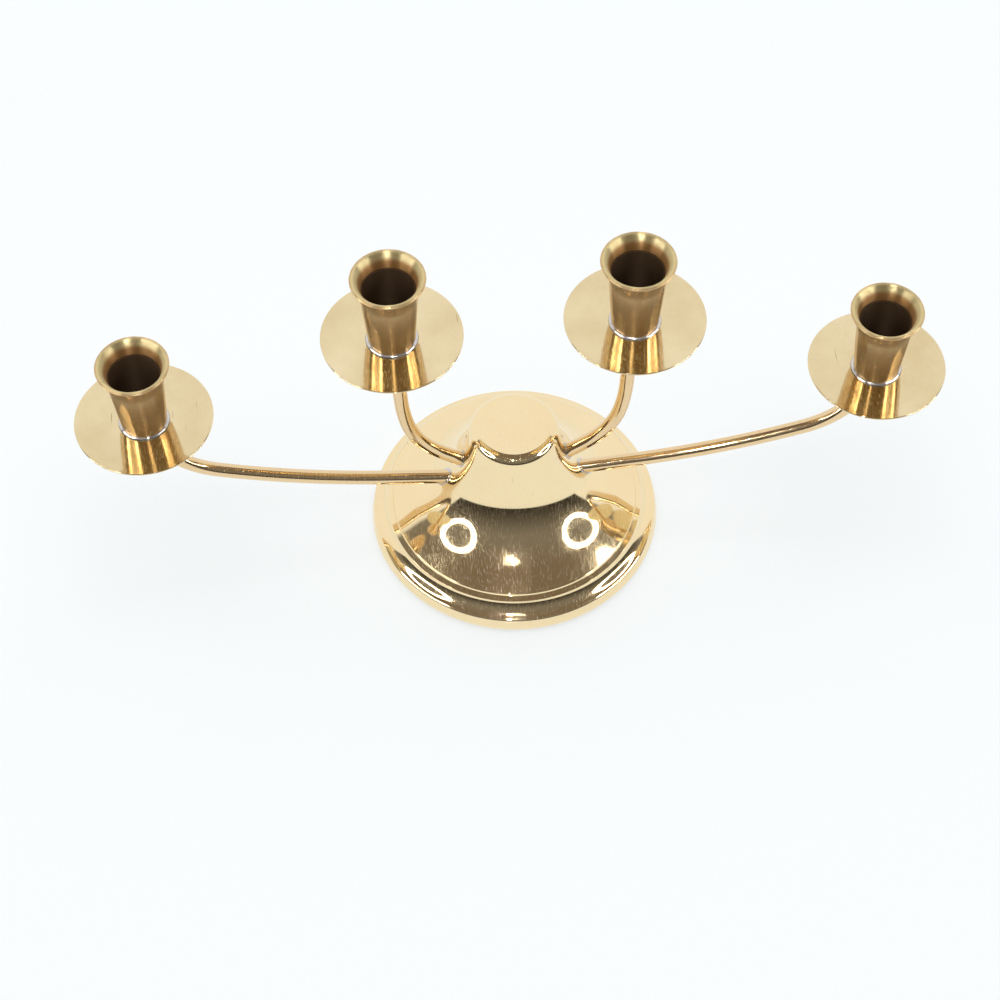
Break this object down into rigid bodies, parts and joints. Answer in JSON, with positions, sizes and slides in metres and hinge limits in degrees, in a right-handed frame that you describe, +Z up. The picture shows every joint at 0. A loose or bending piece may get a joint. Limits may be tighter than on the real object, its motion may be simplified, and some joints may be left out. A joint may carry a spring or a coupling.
{
  "type": "tabletop candelabra",
  "caption": "Brass table candelabra: a polished bell base with bent round arms in one row, each with a shallow drip pan and a trumpet-mouthed cup that holds a dinner candle",
  "frame": {"origin": "centre of the felt disc's underside, where the candelabra stands on the table", "axes": "+X runs along the row of lights to the right as seen from the front, +Y to the back, +Z up"},
  "size_m": [0.3576, 0.125, 0.1627],
  "materials": {
    "polished_brass": "mirror polished",
    "tarnished_brass": "polished, browned by tarnish",
    "plain_brass": "turned",
    "solder": "bright tin solder",
    "cast_iron": "as cast",
    "steel": "zinc plated",
    "felt": "pressed felt"
  },
  "bodies": {
    "root": {"base_shell": "polished_brass", "arm_hub": "plain_brass", "ballast": "cast_iron", "base_bolt": "steel", "bolt_washer": "steel", "felt_pad": "felt", "arm_outer_left": "polished_brass", "arm_inner_left": "polished_brass", "arm_inner_right": "polished_brass", "arm_outer_right": "polished_brass", "drip_pan_outer_left": "polished_brass", "drip_pan_inner_left": "polished_brass", "drip_pan_inner_right": "polished_brass", "drip_pan_outer_right": "polished_brass", "candle_cup_outer_left": "tarnished_brass", "candle_cup_inner_left": "tarnished_brass", "candle_cup_inner_right": "tarnished_brass", "candle_cup_outer_right": "tarnished_brass", "cup_solder_outer_left": "solder", "cup_solder_inner_left": "solder", "cup_solder_inner_right": "solder", "cup_solder_outer_right": "solder", "floor_solder_outer_left": "solder", "floor_solder_inner_left": "solder", "floor_solder_inner_right": "solder", "floor_solder_outer_right": "solder", "arm_solder_outer_left": "solder", "arm_solder_inner_left": "solder", "arm_solder_inner_right": "solder", "arm_solder_outer_right": "solder"}
  },
  "joints": []
}
